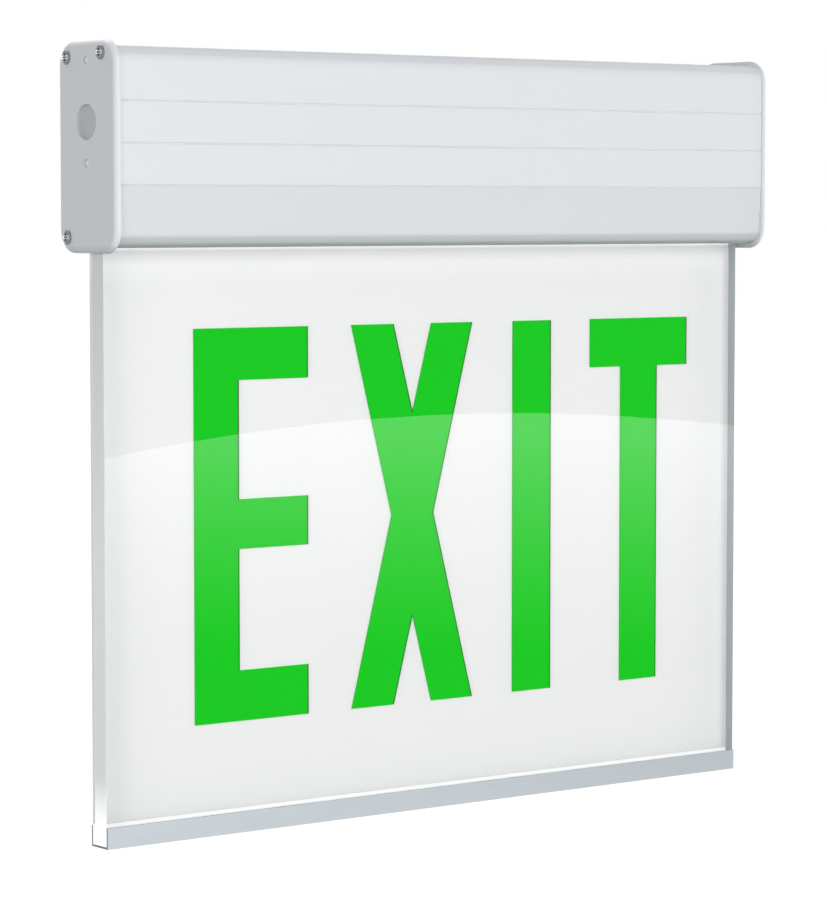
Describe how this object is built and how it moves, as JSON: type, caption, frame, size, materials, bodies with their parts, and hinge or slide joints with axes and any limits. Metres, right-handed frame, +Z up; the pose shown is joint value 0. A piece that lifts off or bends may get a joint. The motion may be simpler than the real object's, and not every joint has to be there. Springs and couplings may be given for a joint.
{
  "type": "emergency exit light",
  "caption": "Edge-lit emergency exit light: an extruded aluminium housing with cast end caps, and a clear sign panel on a white backing hung from a slot below it.",
  "frame": {"origin": "middle of the housing's back face, which lies on the wall", "axes": "+X along the housing to the reader's right, +Y into the wall, +Z up"},
  "size_m": [0.3337, 0.0394, 0.3031],
  "materials": {
    "housing_paint": "satin silver-white powder coat",
    "cap_paint": "satin silver-white powder coat",
    "screw_steel": "bright zinc",
    "plug_plastic": "moulded grey",
    "clear_acrylic": "polished clear sheet",
    "white_acrylic": "opal white sheet",
    "trim_aluminium": "satin anodised",
    "carrier_aluminium": "mill finish",
    "board_laminate": "solder mask",
    "led_phosphor": "lamp chips",
    "tray_paint": "white paint",
    "brass_fittings": "plain",
    "core_steel": "varnished laminations",
    "coil_tape": "yellow winding tape",
    "capacitor_sleeve": "shrink sleeve",
    "relay_case": "moulded case",
    "terminal_plastic": "moulded",
    "socket_plastic": "moulded nylon",
    "battery_sleeve": "shrink sleeve",
    "cradle_plastic": "moulded",
    "tie_nylon": "nylon",
    "switch_case": "moulded",
    "button_plastic": "moulded",
    "lamp_lens": "clear red lens",
    "lead_sleeve": "insulation"
  },
  "bodies": {
    "light": {"housing_extrusion": "housing_paint", "left_end_cap": "cap_paint", "right_end_cap": "cap_paint", "left_cap_screws": "screw_steel", "right_cap_screws": "screw_steel", "left_stem_plug": "plug_plastic", "right_stem_plug": "plug_plastic", "light_panel": "clear_acrylic", "backing_sheet": "white_acrylic", "edge_trim": "trim_aluminium", "led_carrier": "carrier_aluminium", "led_board": "board_laminate", "leds": "led_phosphor", "panel_screws": "screw_steel", "panel_nuts": "screw_steel", "gear_tray": "tray_paint", "charger_board": "board_laminate", "board_standoffs": "brass_fittings", "board_screws": "screw_steel", "transformer_core": "core_steel", "transformer_coil": "coil_tape", "capacitors": "capacitor_sleeve", "relay": "relay_case", "terminal_block": "terminal_plastic", "battery_socket": "socket_plastic", "lamp_socket": "socket_plastic", "battery_pack": "battery_sleeve", "battery_cradle": "cradle_plastic", "battery_ties": "tie_nylon", "test_switch": "switch_case", "switch_nut": "screw_steel", "charge_lamp": "lamp_lens", "battery_lead": "lead_sleeve", "lamp_lead": "lead_sleeve", "switch_lead": "lead_sleeve"},
    "button": {"test_button": "button_plastic"}
  },
  "joints": [
    {"name": "test_press", "type": "slide", "parent": "light", "child": "button", "axis": [-1, 0, 0], "range_m": [0, 0.0015], "stiffness_N_per_m": 1200}
  ]
}
